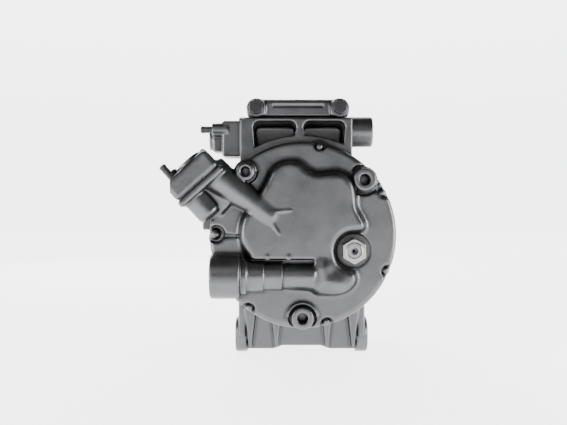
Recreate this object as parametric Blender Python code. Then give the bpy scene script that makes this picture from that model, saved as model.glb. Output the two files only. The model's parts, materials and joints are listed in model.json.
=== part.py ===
"""Automotive air-conditioning compressor: belt-driven scroll type with a magnetic clutch.

Lengths in this file are millimetres until a mesh is finished, when they are scaled to metres.
The shaft lies along Y. The front (clutch) end of the shaft is the origin, so the rear is at -Y.
"""
import math

import bmesh
import bpy
from mathutils import Vector

for old_object in list(bpy.data.objects):
    bpy.data.objects.remove(old_object, do_unlink=True)

MM = 0.001
GAP = 0.3                     # clearance between touching pieces
ROUND = 52                    # facets of the large turned castings
TAU = 2 * math.pi

# ---- driving dimensions -------------------------------------------------------------------
HEAD_RADIUS = 61.0            # rear head rim
SHELL_RADIUS = 60.0
BORE_RADIUS = 51.2            # shell bore round the orbiting scroll
SEAT_RADIUS = 53.8            # shell bore round the fixed scroll and the head's spigot

HEAD_REAR = -170.0            # flat rear face of the head
PLATEAU_REAR = -180.0         # raised discharge chamber cover
HEAD_FRONT = -160.5
SHELL_REAR = -159.5
SHELL_SHOULDER = -137.5
SHELL_FRONT = -102.2
HOUSING_REAR = -101.2         # front housing's joint face
FLANGE_FRONT = -90.3          # where the case bolts' heads sit
HOUSING_FACE = -49.3          # coil mounting face
NOSE_FRONT = -20.0
NOSE_RADIUS = 17.2
NOSE_BORE = 13.8

CASE_BOLTS = 7
CASE_BOLT_CIRCLE = 56.8
CASE_BOLT_FIRST = math.radians(79.4)
CASE_BOLT_END = -164.7

INVOLUTE = 2.6                # base circle radius of the scroll wraps
WALL = 4.0                    # wrap thickness
ORBIT = math.pi * INVOLUTE - WALL - GAP
WRAP_STEPS = 24               # facets per turn, an even number so that both wraps stay parallel
WRAP_FIRST = 14
WRAP_LAST = 62
PLATE_REAR = -112.0           # orbiting scroll's plate
PLATE_FRONT = -104.3
FIXED_FRONT = -137.8
FIXED_REAR = -148.2
ORBITING_PLATE_RADIUS = 46.5

PIN_RADIUS = 6.5              # crank pin
PIN_REAR = -103.0
CRANK_REAR = -87.6
SHAFT_RADIUS = 8.0
JOURNAL_RADIUS = 10.7

GUIDE_PINS = 3
GUIDE_CIRCLE = 38.0
GUIDE_FIRST = math.radians(17)
GUIDE_PIN_RADIUS = 2.5
GUIDE_RING_BORE = ORBIT + GUIDE_PIN_RADIUS + GAP

PULLEY_RADIUS = 60.0
PULLEY_FACE = -17.5
PULLEY_REAR = -42.0
GROOVES = 6
GROOVE_PITCH = 3.56
GROOVE_DEPTH = 2.8
AIR_GAP = 0.5                 # between the armature and the pulley face

UPPER_BORE = (-114.0, 72.5)   # Y and Z of the upper mounting bolt, which runs along X
UPPER_ENDS = (-44.8, 50.9)
LOWER_BORE = (-116.0, -72.2)
LOWER_END = 46.7
MOUNT_BOLT_RADIUS = 5.25

VALVE_AXIS = (-175.0, -26.5)  # Y and Z of the capacity control bore, which runs along X
RELIEF = (32.8, -10.3)
PORT_CENTRE = Vector((-70.0, -172.4, 36.6))
PORT_ANGLE = math.radians(42)
PORT_ALONG = Vector((math.cos(PORT_ANGLE), 0, math.sin(PORT_ANGLE)))
PORT_OUT = Vector((-math.sin(PORT_ANGLE), 0, math.cos(PORT_ANGLE)))
PORT_HALF = 9.5               # half the flange's thickness
PORT_SPLIT = -8.7             # the port block is a node of its own beyond this plane
DISCHARGE_STUD = PORT_CENTRE + PORT_OUT * PORT_HALF - PORT_ALONG * 10.6
SUCTION_PORT = Vector((-61.6, -134.0, 66.0))
SUCTION_STUD = SUCTION_PORT + Vector((0, -10.5, 5.0))
PORT_BORE = 6.0
STUD_RADIUS = 2.5
STUD_HOLE = STUD_RADIUS + GAP

LEFT_BOSS = (-37.2, 41.0)     # X and Z of the bosses on the head's rear face
RIGHT_BOSS = (39.7, 35.8)
LOW_BOSS = (-0.4, -53.7)
THREAD_HOLE = 3.5

WINDOW_TOP = 75.4             # openings of the upper mount
WINDOW_FLOOR = SHELL_RADIUS + 6.2
WINDOW_CORNER = 4.5
WINDOW_FRONT = -127.0

BRACKET_REAR = -158.0
BRACKET_FRONT = -146.3
BRACKET_BASE = 79.3
BRACKET_TOP = 90.5
BRACKET_BOLTS = ((-31.0, 84.4), (24.8, 84.4))
BRACKET_BOLT_RADIUS = 2.9

BEARING_REAR = -84.2          # main bearing
BEARING_FRONT = -71.2
PULLEY_BEARING_REAR = -41.0
PULLEY_BEARING_FRONT = -25.0
CASE_BOLT_RADIUS = 2.5
CASE_BOLT_HOLE = CASE_BOLT_RADIUS + GAP

X_AXIS = Vector((1, 0, 0))
Y_AXIS = Vector((0, 1, 0))
Z_AXIS = Vector((0, 0, 1))

# colour, roughness, metallic
CAST = ((0.40, 0.40, 0.41), 0.45, 1.0)
MACHINED = ((0.62, 0.62, 0.63), 0.30, 1.0)
STEEL = ((0.50, 0.50, 0.52), 0.28, 1.0)
ZINC = ((0.66, 0.66, 0.64), 0.32, 1.0)
DARK_STEEL = ((0.10, 0.10, 0.11), 0.40, 1.0)
SPRING = ((0.32, 0.32, 0.34), 0.35, 1.0)
BLACK = ((0.025, 0.025, 0.027), 0.55, 0.0)
RUBBER = ((0.03, 0.03, 0.03), 0.80, 0.0)
GASKET = ((0.16, 0.16, 0.17), 0.70, 0.0)


# ---- shape helpers ------------------------------------------------------------------------
def side_axes(direction):
    """Two unit vectors square to direction; coaxial pieces share them, so their facets line up."""
    across = Z_AXIS if abs(direction.z) < 0.9 else X_AXIS
    second = (across - direction * across.dot(direction)).normalized()
    return second, direction.cross(second)


def turned(profile, segments=24, start=(0, 0, 0), direction=Y_AXIS):
    """A solid turned about an axis from a closed outline of (radius, distance along the axis)."""
    start = Vector(start)
    direction = Vector(direction).normalized()
    first, second = side_axes(direction)
    shape = bmesh.new()
    rings = []
    for radius, along in profile:
        middle = start + direction * along
        if radius == 0:
            rings.append([shape.verts.new(middle)])
            continue
        ring = []
        for step in range(segments):
            angle = TAU * step / segments
            side = first * math.cos(angle) + second * math.sin(angle)
            ring.append(shape.verts.new(middle + side * radius))
        rings.append(ring)
    for here, there in zip(rings, rings[1:] + rings[:1]):
        if len(here) == 1 and len(there) == 1:
            continue
        for step in range(segments):
            after = (step + 1) % segments
            corners = [here[step % len(here)], here[after % len(here)],
                       there[after % len(there)], there[step % len(there)]]
            distinct = list(dict.fromkeys(corners))
            shape.faces.new(distinct)
    bmesh.ops.recalc_face_normals(shape, faces=shape.faces)
    return shape


def rod(start, end, radius, segments=16, end_radius=None):
    """A plain or tapered cylinder between two points."""
    start, end = Vector(start), Vector(end)
    length = (end - start).length
    last = radius if end_radius is None else end_radius
    return turned([(0, 0), (radius, 0), (last, length), (0, length)], segments, start, end - start)


def tube(inner, outer, near, far, segments=24, start=(0, 0, 0), direction=Y_AXIS):
    """A plain ring between two stations on an axis."""
    outline = [(inner, near), (outer, near), (outer, far), (inner, far)]
    return turned(outline, segments, start, direction)


def prism(outline, start, direction, first, second, length):
    """A solid pushed along direction from a flat outline given in first and second."""
    start = Vector(start)
    shape = bmesh.new()
    near = [shape.verts.new(start + first * a + second * b) for a, b in outline]
    far = [shape.verts.new(vert.co + direction * length) for vert in near]
    shape.faces.new(near)
    shape.faces.new(far)
    count = len(outline)
    for step in range(count):
        after = (step + 1) % count
        shape.faces.new([near[step], near[after], far[after], far[step]])
    bmesh.ops.recalc_face_normals(shape, faces=shape.faces)
    return shape


def plate(outline, near, far):
    """An (x, z) outline pushed along the shaft."""
    return prism(outline, (0, near, 0), Y_AXIS, X_AXIS, Z_AXIS, far - near)


def slab(outline, near, far):
    """A (y, z) outline pushed across the shaft, along X."""
    return prism(outline, (near, 0, 0), X_AXIS, Y_AXIS, Z_AXIS, far - near)


def rounded_box(width, height, radius, centre=(0, 0), corner_steps=3):
    """Outline of a rectangle with round corners."""
    points = []
    for corner, (side_x, side_z) in enumerate(((1, 1), (-1, 1), (-1, -1), (1, -1))):
        middle_x = centre[0] + side_x * (width / 2 - radius)
        middle_z = centre[1] + side_z * (height / 2 - radius)
        for step in range(corner_steps + 1):
            angle = math.pi / 2 * (corner + step / corner_steps)
            points.append((middle_x + radius * math.cos(angle), middle_z + radius * math.sin(angle)))
    return points


def hexagon(across_flats, centre=(0, 0), turn=math.pi / 2):
    """Outline of a spanner hexagon, with a corner in the direction turn."""
    corner = across_flats / math.sqrt(3)
    return [(centre[0] + corner * math.cos(turn + TAU * k / 6),
             centre[1] + corner * math.sin(turn + TAU * k / 6)) for k in range(6)]


def arc(radius, first, last, steps, centre=(0, 0)):
    """Points along an arc, in degrees."""
    points = []
    for step in range(steps + 1):
        angle = math.radians(first + (last - first) * step / steps)
        points.append((centre[0] + radius * math.cos(angle), centre[1] + radius * math.sin(angle)))
    return points


def merged(*shapes):
    """Separate shells that do not touch, gathered in one mesh for use as a tool."""
    gathered = bmesh.new()
    for shape in shapes:
        piece = bpy.data.meshes.new("shell")
        shape.to_mesh(piece)
        shape.free()
        gathered.from_mesh(piece)
        bpy.data.meshes.remove(piece)
    return gathered


def finished_mesh(name, shape, origin):
    """A Blender mesh in metres about origin, shaded smooth with its creases kept."""
    bmesh.ops.translate(shape, verts=shape.verts, vec=-Vector(origin))
    bmesh.ops.scale(shape, verts=shape.verts, vec=(MM, MM, MM))
    mesh = bpy.data.meshes.new(name)
    shape.to_mesh(mesh)
    shape.free()
    mesh.shade_smooth()
    mesh.set_sharp_from_angle(angle=math.radians(35))
    return mesh


def material(name, finish):
    colour, roughness, metallic = finish
    made = bpy.data.materials.new(name)
    made.use_nodes = True
    shader = made.node_tree.nodes["Principled BSDF"]
    shader.inputs["Base Color"].default_value = (*colour, 1)
    shader.inputs["Roughness"].default_value = roughness
    shader.inputs["Metallic"].default_value = metallic
    return made


def piece(name, shape, finish, origin=(0, 0, 0)):
    """One named part, with its origin where its joint is."""
    made = bpy.data.objects.new(name, finished_mesh(name, shape, origin))
    made.location = Vector(origin) * MM
    made.data.materials.append(material(f"{name}_finish", finish))
    bpy.context.collection.objects.link(made)
    return made


def boolean(target, shape, operation):
    """Adds or cuts a shape, which stays in the file as a hidden guide."""
    name = f"{target.name}_tool_{len(target.modifiers)}"
    guide = bpy.data.objects.new(name, finished_mesh(name, shape, (0, 0, 0)))
    guide.hide_render = True
    guide.display_type = "WIRE"
    bpy.context.collection.objects.link(guide)
    step = target.modifiers.new(operation.lower(), "BOOLEAN")
    step.operation = operation
    step.solver = "EXACT"
    step.object = guide


def add(target, *shapes):
    for shape in shapes:
        boolean(target, shape, "UNION")


def cut(target, *shapes):
    for shape in shapes:
        boolean(target, shape, "DIFFERENCE")


def around(radius, count, first=0.0):
    """Points on a circle about the shaft, as (x, z)."""
    return [(radius * math.cos(first + TAU * k / count), radius * math.sin(first + TAU * k / count))
            for k in range(count)]


def along_shaft(centre, near, far, radius, segments=12):
    """A cylinder parallel to the shaft at (x, z)."""
    return rod((centre[0], near, centre[1]), (centre[0], far, centre[1]), radius, segments)


def across_shaft(centre, near, far, radius, segments=16):
    """A cylinder along X at (y, z)."""
    return rod((near, centre[0], centre[1]), (far, centre[0], centre[1]), radius, segments)


def case_bolt_places():
    return around(CASE_BOLT_CIRCLE, CASE_BOLTS, CASE_BOLT_FIRST)


# ---- castings -----------------------------------------------------------------------------
def plateau_outline():
    """Edge of the raised discharge chamber on the rear head."""
    top = [(-26.7, 28.6), (-22.5, 35.8), (-20.2, 41.9), (-15.3, 46.0), (-8.1, 47.6), (-2.1, 46.4),
           (2.7, 41.9), (8.8, 39.2), (15.9, 40.0), (22, 40.6), (28, 38.2), (32.2, 33.4), (33.8, 26.2),
           (34, 17.8), (37.6, 11.8), (39.7, 7), (37.6, 4)]
    valve_side = arc(13.0, 100, 262, 8, RELIEF)
    bottom = [(33.3, -26.1), (32.3, -31.4), (27.6, -35.8), (21, -37.4), (-35.8, -36.4)]
    left = [(-34, -15.3), (-38.9, -6.9), (-40.3, -0.5), (-39.6, 7.2), (-38.2, 12.2), (-32.6, 15)]
    return top + valve_side + bottom + left


def port_shapes():
    """The discharge port's block, its raised rings and the tapered tube that leaves it."""
    outer = PORT_CENTRE + PORT_OUT * PORT_HALF
    block = prism(rounded_box(36, 23.4, 8, (0, 0), 3), PORT_CENTRE - PORT_OUT * PORT_HALF,
                  PORT_OUT, PORT_ALONG, Y_AXIS, 2 * PORT_HALF)
    ring = rod(outer + PORT_ALONG * 4 - PORT_OUT, outer + PORT_ALONG * 4 + PORT_OUT * 2, 9.5, 20)
    boss = rod(DISCHARGE_STUD - PORT_OUT, DISCHARGE_STUD + PORT_OUT * 2.6, 5, 12)
    tube_root = rod((-59, -171, 39.8), (-19, -176.5, 11.6), 10.2, 16, 5.2)
    return block, ring, boss, tube_root


def port_side(near, far):
    """A large block between two planes square to the port's axis."""
    return prism(rounded_box(120, 80, 1, (0, 0), 1), PORT_CENTRE + PORT_OUT * near,
                 PORT_OUT, PORT_ALONG, Y_AXIS, far - near)


def port_passage():
    """The discharge bore and the passage that joins it to the discharge chamber."""
    bore_mouth = PORT_CENTRE + PORT_ALONG * 4 + PORT_OUT * (PORT_HALF + 3)
    bore_foot = PORT_CENTRE + PORT_ALONG * 4 - PORT_OUT * 6
    return (rod(bore_mouth, bore_foot, PORT_BORE, 16),
            rod(bore_foot + PORT_OUT * 3, (-16, -172, 13), 4.0, 12))


def discharge_port():
    """Cast in one with the head; a node of its own so that its bore stays open to collision."""
    block, *others = port_shapes()
    port = piece("discharge_port_block", block, CAST)
    add(port, *others)
    cut(port, port_side(PORT_SPLIT - 60, PORT_SPLIT), *port_passage())
    cut(port, rod(DISCHARGE_STUD + PORT_OUT * 3, DISCHARGE_STUD - PORT_OUT * 8, STUD_HOLE, 12))


def rear_head():
    head = piece("rear_head", turned([
        (0, HEAD_REAR), (57.8, HEAD_REAR), (59.8, HEAD_REAR + 0.9), (HEAD_RADIUS, HEAD_REAR + 3.2),
        (HEAD_RADIUS, HEAD_FRONT), (SEAT_RADIUS - GAP, HEAD_FRONT), (SEAT_RADIUS - GAP, FIXED_REAR - GAP),
        (46, FIXED_REAR - GAP), (46, -164), (0, -164)], ROUND), CAST)
    add(head, plate(plateau_outline(), PLATEAU_REAR, -166))
    valve_y, valve_z = VALVE_AXIS
    add(head, turned([(0, -60), (14.2, -60), (14.5, -58), (14.5, -40), (10.4, -36), (10.1, -25),
                      (9.3, -24), (9.1, -13.5), (7.0, -12.5), (6.8, 7), (4.5, 9.5), (0, 9.5)],
                     24, (0, valve_y, valve_z), X_AXIS))
    add(head, *port_shapes())
    neck = PORT_CENTRE - PORT_ALONG * 8
    add(head, rod(neck - PORT_OUT * 9, neck - PORT_OUT * 25.5, 8, 16))
    cut(head, port_side(PORT_SPLIT, PORT_SPLIT + 60))
    add(head, along_shaft(LEFT_BOSS, -178, -165, 7, 20))
    add(head, along_shaft(RIGHT_BOSS, -177, -165, 7.3, 20))
    add(head, along_shaft(LOW_BOSS, -176, -165, 7, 20))
    cut(head, along_shaft((-1, 12), -176.5, -150, 24, 24))
    for number, (x, z) in enumerate(case_bolt_places()):
        if number not in (1, 2):
            unit = Vector((x, 0, z)).normalized()
            rim = unit * (HEAD_RADIUS - 1.0)
            cut(head, along_shaft((rim.x, rim.z), HEAD_REAR - 1, -167, 4.6, 12))
            add(head, along_shaft((unit.x * 57.3, unit.z * 57.3), -169.2, -166, 2.8, 10))
        cut(head, along_shaft((x, z), -165, -160, CASE_BOLT_HOLE, 12))
    cut(head, along_shaft(LEFT_BOSS, -179, -168, 2.7, 12))
    cut(head, along_shaft(RIGHT_BOSS, -178, -163, THREAD_HOLE, 14))
    cut(head, along_shaft(LOW_BOSS, -177, -163, THREAD_HOLE, 14))
    cut(head, along_shaft(RELIEF, -171.5, -160, 6.0, 16))
    cut(head, turned([(0, -61), (11.5, -61), (11.5, -43), (7.0, -43), (7.0, -8), (4.0, -8),
                      (4.0, 3), (0, 3)], 20, (0, valve_y, valve_z), X_AXIS))
    cut(head, *port_passage())


def window_outline(left, right):
    """A lightening window of the upper mount: round top corners, floor curved round the barrel."""
    middle_z = WINDOW_TOP - WINDOW_CORNER
    points = arc(WINDOW_CORNER, 0, 90, 3, (right - WINDOW_CORNER, middle_z))
    points += arc(WINDOW_CORNER, 90, 180, 3, (left + WINDOW_CORNER, middle_z))
    steps = 4
    inset = 1.5
    for step in range(steps + 1):
        x = left + inset + (right - left - 2 * inset) * step / steps
        points.append((x, math.sqrt(WINDOW_FLOOR ** 2 - x ** 2)))
    return points


def shell_housing():
    shell = piece("shell_housing", turned([
        (0, SHELL_REAR), (SHELL_RADIUS, SHELL_REAR), (SHELL_RADIUS, SHELL_FRONT), (0, SHELL_FRONT)],
        ROUND), CAST)
    ribs = [along_shaft(place, SHELL_REAR + 0.2, SHELL_FRONT - 0.2, 5.4, 12)
            for place in case_bolt_places()]
    add(shell, merged(*ribs))
    lug = plate([(-66.5, 3), (-58, 3), (-58, 11), (-66.5, 11)], SHELL_REAR + 0.4, -150)
    add(shell, lug)
    upper_y, upper_z = UPPER_BORE
    frame = plate([(-38.4, 77.6), (-41.5, 76), (-41.5, 40), (-30, 48), (0, 56), (28, 49), (33, 48),
                   (33, 77.6)], SHELL_REAR + 0.6, upper_y)
    add(shell, frame)
    add(shell, across_shaft(UPPER_BORE, *UPPER_ENDS, 10.8, 20))
    backing = [(upper_y - 6, 45), (upper_y + 9, 45), (upper_y + 9, 72), (upper_y - 6, 72)]
    add(shell, slab(backing, -35.5, 31.5))
    add(shell, slab([(-146, 76.5), (-118, 76.5), (-122, 88), (-126, BRACKET_TOP), (-146, BRACKET_TOP)],
                    -37, 30.5))
    lower_y, lower_z = LOWER_BORE
    web = [(-42, -45), (-42, -81.9), (-20, -81.9), (-13.6, -79.5), (13.6, -79.5), (20, -81.9),
           (42, -81.9), (42, -45), (30, -49), (0, -57), (-30, -49)]
    add(shell, plate(web, lower_y - 9, lower_y + 9))
    add(shell, across_shaft(LOWER_BORE, -LOWER_END, -38, 12.4, 20))
    add(shell, across_shaft(LOWER_BORE, 38, LOWER_END, 12.4, 20))
    for side in (-1, 1):
        for middle in (17.8, 36.0):
            wedge = [(side * middle - 4, -54), (side * middle + 4, -54),
                     (side * middle + 0.8, -80), (side * middle - 0.8, -80)]
            add(shell, plate(wedge, lower_y - 15, lower_y - 8))
    add(shell, plate(rounded_box(14.8, 24.5, 2, (-47, 64.75), 2), SUCTION_PORT.y - 14, SUCTION_PORT.y + 9))
    add(shell, plate(rounded_box(14, 20, 2.4, (-54.6, 66), 2), SUCTION_PORT.y - 13.5, SUCTION_PORT.y + 8.5))
    add(shell, rod(SUCTION_PORT + X_AXIS * 4, SUCTION_PORT - X_AXIS * 2, 8.3, 20))
    cut(shell, plate(window_outline(-33, -4.2), SHELL_REAR - 1, WINDOW_FRONT))
    cut(shell, plate(window_outline(0.4, 28.4), SHELL_REAR - 1, WINDOW_FRONT))
    cut(shell, turned([(0, -160.5), (SEAT_RADIUS, -160.5), (SEAT_RADIUS, SHELL_SHOULDER),
                       (BORE_RADIUS, SHELL_SHOULDER), (BORE_RADIUS, -101), (0, -101)], ROUND))
    for place in case_bolt_places():
        cut(shell, along_shaft(place, SHELL_REAR - 1, SHELL_FRONT + 1, CASE_BOLT_HOLE, 12))
    cut(shell, across_shaft(UPPER_BORE, UPPER_ENDS[0] - 1, UPPER_ENDS[1] + 1, MOUNT_BOLT_RADIUS, 16))
    cut(shell, across_shaft(LOWER_BORE, -LOWER_END - 1, LOWER_END + 1, MOUNT_BOLT_RADIUS, 16))
    cut(shell, rod(SUCTION_PORT - X_AXIS * 3, SUCTION_PORT + X_AXIS * 16, PORT_BORE, 16))
    cut(shell, rod((-48, SUCTION_PORT.y, 64), (-22, SUCTION_PORT.y, 42), 3.5, 12))
    for place in BRACKET_BOLTS:
        cut(shell, along_shaft(place, -147, -128, BRACKET_BOLT_RADIUS + GAP, 12))
    cut(shell, rod(SUCTION_STUD - X_AXIS, SUCTION_STUD + X_AXIS * 9, STUD_HOLE, 12))


def front_housing():
    housing = piece("front_housing", turned([
        (61, HOUSING_REAR), (61, FLANGE_FRONT), (51, FLANGE_FRONT), (49, -87), (47.5, -62),
        (44, HOUSING_FACE),
        (NOSE_RADIUS, HOUSING_FACE), (NOSE_RADIUS, NOSE_FRONT), (NOSE_BORE, NOSE_FRONT), (NOSE_BORE, -70.5),
        (24.3, -70.5), (24.3, -86), (27, -86), (27, HOUSING_REAR)], 36), CAST)
    for place in case_bolt_places():
        cut(housing, along_shaft(place, HOUSING_REAR - 1, FLANGE_FRONT + 4, CASE_BOLT_HOLE, 12))
    for x, z in around(GUIDE_CIRCLE, GUIDE_PINS, GUIDE_FIRST):
        cut(housing, along_shaft((x, z), HOUSING_REAR - 1, -94, GUIDE_PIN_RADIUS + GAP, 12))


def gaskets():
    """Flat joint rings between the three castings."""
    for name, near, far in (("rear_gasket", -160.2, -159.8), ("front_gasket", -101.9, -101.5)):
        ring = piece(name, tube(54.3, 60.5, near, far, ROUND), GASKET)
        holes = [along_shaft(place, near - 1, far + 1, 3.1, 8) for place in case_bolt_places()]
        cut(ring, merged(*holes))


def case_bolts():
    """Seven long bolts that hold the front housing, the shell and the rear head together."""
    for number, (x, z) in enumerate(case_bolt_places(), 1):
        shank = along_shaft((x, z), CASE_BOLT_END, -88, CASE_BOLT_RADIUS, 12)
        bolt = piece(f"case_bolt_{number}", shank, ZINC)
        add(bolt, plate(hexagon(8, (x, z)), FLANGE_FRONT + GAP, -84.5))


# ---- upper bracket ------------------------------------------------------------------------
def upper_bracket():
    bracket = piece("upper_bracket", slab([
        (BRACKET_FRONT, BRACKET_BASE), (BRACKET_FRONT, BRACKET_TOP), (BRACKET_REAR + 5, BRACKET_TOP),
        (BRACKET_REAR + 3.2, BRACKET_TOP - 1), (BRACKET_REAR + 2.5, BRACKET_TOP - 3),
        (BRACKET_REAR + 2.5, BRACKET_BASE)], -31, 25), CAST)
    for place in BRACKET_BOLTS:
        add(bracket, along_shaft(place, BRACKET_REAR, BRACKET_FRONT, 6.4, 20))
    for left in (-37, 19):
        foot = [(left, BRACKET_BASE), (left + 12, BRACKET_BASE), (left + 12, 84), (left, 84)]
        add(bracket, plate(foot, BRACKET_REAR, BRACKET_FRONT))
    for number, place in enumerate(BRACKET_BOLTS, 1):
        cut(bracket, along_shaft(place, BRACKET_REAR - 1, BRACKET_FRONT + 1, BRACKET_BOLT_RADIUS + GAP, 12))
        shank = along_shaft(place, BRACKET_REAR - 1, -129, BRACKET_BOLT_RADIUS, 12)
        bolt = piece(f"bracket_bolt_{number}", shank, DARK_STEEL)
        add(bolt, along_shaft(place, BRACKET_REAR - 1.8, BRACKET_REAR - GAP, 5.6, 16))
        add(bolt, plate(hexagon(8, place), BRACKET_REAR - 5.5, BRACKET_REAR - 1))


# ---- scroll set ---------------------------------------------------------------------------
def wrap_outline():
    """Plan of a scroll wall: an involute of the base circle, offset half a wall each way."""
    outer, inner = [], []
    for step in range(WRAP_FIRST, WRAP_LAST + 1):
        angle = TAU * step / WRAP_STEPS
        normal = (math.sin(angle), -math.cos(angle))
        foot = (INVOLUTE * math.cos(angle), INVOLUTE * math.sin(angle))
        for points, distance in ((outer, WALL / 2), (inner, -WALL / 2)):
            reach = INVOLUTE * angle + distance
            points.append((foot[0] + normal[0] * reach, foot[1] + normal[1] * reach))
    return outer + inner[::-1]


def scroll_set():
    fixed = piece("fixed_scroll", turned([
        (0, FIXED_REAR), (SEAT_RADIUS - GAP, FIXED_REAR), (SEAT_RADIUS - GAP, FIXED_FRONT), (0, FIXED_FRONT)],
        48), MACHINED)
    add(fixed, plate(wrap_outline(), FIXED_FRONT - 1, PLATE_REAR - GAP))
    cut(fixed, along_shaft((0, 0), FIXED_REAR - 1, FIXED_FRONT + 1, 3.2, 12))
    cut(fixed, along_shaft((26, 0), FIXED_REAR - 1, FIXED_REAR + 6, 2.3, 10))

    turned_over = [(ORBIT - x, -z) for x, z in wrap_outline()]
    orbiting = piece("orbiting_scroll", turned([
        (0, PLATE_REAR), (ORBITING_PLATE_RADIUS, PLATE_REAR), (ORBITING_PLATE_RADIUS, PLATE_FRONT),
        (16.5, PLATE_FRONT), (16.5, -91.8), (12.0, -91.8), (12.0, PLATE_FRONT), (0, PLATE_FRONT)],
        48, (ORBIT, 0, 0)), MACHINED, (ORBIT, 0, 0))
    add(orbiting, plate(turned_over, FIXED_FRONT + GAP, PLATE_REAR + 1))
    thrust = piece("thrust_plate", tube(28, 50.5, -103.9, -101.5, 48), STEEL)
    for number, (x, z) in enumerate(around(GUIDE_CIRCLE, GUIDE_PINS, GUIDE_FIRST), 1):
        socket = (x + ORBIT, z)
        cut(orbiting, along_shaft(socket, -108.9, PLATE_FRONT + 1, GUIDE_RING_BORE + 2.0, 20))
        cut(thrust, along_shaft((x, z), -105, -100, GUIDE_PIN_RADIUS + GAP, 12))
        piece(f"guide_pin_{number}", along_shaft((x, z), -108.2, -94.5, GUIDE_PIN_RADIUS, 12), STEEL)
        ring = tube(GUIDE_RING_BORE, GUIDE_RING_BORE + 1.6, -108.5, -104.6, 20, (socket[0], 0, socket[1]))
        piece(f"guide_ring_{number}", ring, STEEL, (ORBIT, 0, 0))

    reed = plate([(-4.5, -3), (-2, -4.5), (2, -4.5), (5, -3.2), (31, -3.2), (31, 3.2), (5, 3.2),
                  (2, 4.5), (-2, 4.5), (-4.5, 3)], FIXED_REAR - 0.8, FIXED_REAR - GAP)
    reed_piece = piece("discharge_reed", reed, SPRING, (31, FIXED_REAR - GAP, 0))
    cut(reed_piece, along_shaft((26, 0), FIXED_REAR - 2, FIXED_REAR + 1, 2.9, 10))
    stop = prism([(31, FIXED_REAR - 1.7), (31, FIXED_REAR - 3.5), (22, FIXED_REAR - 3.5),
                  (8, FIXED_REAR - 6.0), (-3, FIXED_REAR - 8.6), (-3, FIXED_REAR - 6.8),
                  (8, FIXED_REAR - 4.2), (22, FIXED_REAR - 1.7)],
                 (0, 0, -3), Z_AXIS, X_AXIS, Y_AXIS, 6)
    retainer = piece("reed_retainer", stop, STEEL)
    add(retainer, along_shaft((26, 0), FIXED_REAR - 5, FIXED_REAR + 5.5, 2.0, 10))
    add(retainer, along_shaft((26, 0), FIXED_REAR - 7, FIXED_REAR - 3, 3.6, 14))


# ---- crank train --------------------------------------------------------------------------
def ball_cage(name, pitch_radius, ball_radius, middle, count):
    """The balls of a bearing held in their cage ring."""
    half = ball_radius * 0.45
    cage = piece(name, tube(pitch_radius - 1.1, pitch_radius + 1.1, middle - half, middle + half, 24), STEEL)
    balls = []
    for x, z in around(pitch_radius, count):
        ball = bmesh.new()
        bmesh.ops.create_icosphere(ball, subdivisions=1, radius=ball_radius)
        bmesh.ops.translate(ball, verts=ball.verts, vec=(x, middle, z))
        balls.append(ball)
    add(cage, merged(*balls))


def crank_train():
    shaft = piece("crankshaft", turned([
        (0, 0), (4, 0), (4, -9), (7, -9), (7, -44), (SHAFT_RADIUS, -44), (SHAFT_RADIUS, -70),
        (JOURNAL_RADIUS, -70), (JOURNAL_RADIUS, -84.6), (17, -84.6), (17, CRANK_REAR), (0, CRANK_REAR)],
        24), STEEL)
    add(shaft, along_shaft((ORBIT, 0), PIN_REAR, CRANK_REAR + 1, PIN_RADIUS, 16))
    piece("drive_bush", tube(PIN_RADIUS + GAP, 9.5, -102.5, -91.6, 20, (ORBIT, 0, 0)), STEEL)
    piece("bush_needle_cage", tube(9.8, 11.7, -102.0, -92.2, 20, (ORBIT, 0, 0)), STEEL, (ORBIT, 0, 0))
    weight = piece("counterweight", plate(arc(26, 105, 255, 12) + [(2, -16), (13.5, -7), (13.5, 7), (2, 16)],
                                          -91.2, -88.0), STEEL)
    heavy_arc = plate(arc(26, 112, 248, 10) + arc(19.5, 248, 112, 10), -100.2, -91.0)
    add(weight, heavy_arc)
    cut(weight, along_shaft((ORBIT, 0), -92, -87, PIN_RADIUS + GAP, 16))

    piece("main_bearing_inner_race",
          tube(JOURNAL_RADIUS + GAP, 14.6, BEARING_REAR, BEARING_FRONT, 24), STEEL)
    piece("main_bearing_outer_race", tube(20.0, 24.0, BEARING_REAR, BEARING_FRONT, 24), STEEL)
    ball_cage("main_bearing_balls", 17.3, 2.4, (BEARING_REAR + BEARING_FRONT) / 2, 7)
    piece("front_needle_cage", tube(SHAFT_RADIUS + GAP, 10.4, -69.6, -63.0, 20), STEEL)
    piece("front_bearing_shell", tube(10.7, NOSE_BORE - GAP, -70.0, -62.8, 24), STEEL)
    piece("shaft_seal", tube(SHAFT_RADIUS + GAP, NOSE_BORE - GAP, -61.8, -52.0, 24), RUBBER)


# ---- magnetic clutch ----------------------------------------------------------------------
def pulley_profile():
    """Section of the rotor pulley: ribbed rim, friction face and bearing hub."""
    rib_start = PULLEY_FACE - 3.0
    root = PULLEY_RADIUS - GROOVE_DEPTH
    points = [(PULLEY_RADIUS, rib_start)]
    for groove in range(GROOVES):
        near = rib_start - GROOVE_PITCH * groove
        points += [(root, near - GROOVE_PITCH / 2), (PULLEY_RADIUS - 0.3, near - GROOVE_PITCH)]
    points += [(PULLEY_RADIUS, PULLEY_REAR), (47.5, PULLEY_REAR), (47.5, -22.5), (30.8, -22.5),
               (30.8, PULLEY_REAR), (27.8, PULLEY_REAR), (27.8, PULLEY_FACE),
               (PULLEY_RADIUS - 4, PULLEY_FACE)]
    return points


def spoke(number):
    """Unit directions out along one of the three clutch arms and square to it."""
    angle = math.radians(90 + 120 * number)
    return Vector((math.cos(angle), 0, math.sin(angle))), Vector((-math.sin(angle), 0, math.cos(angle)))


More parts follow.
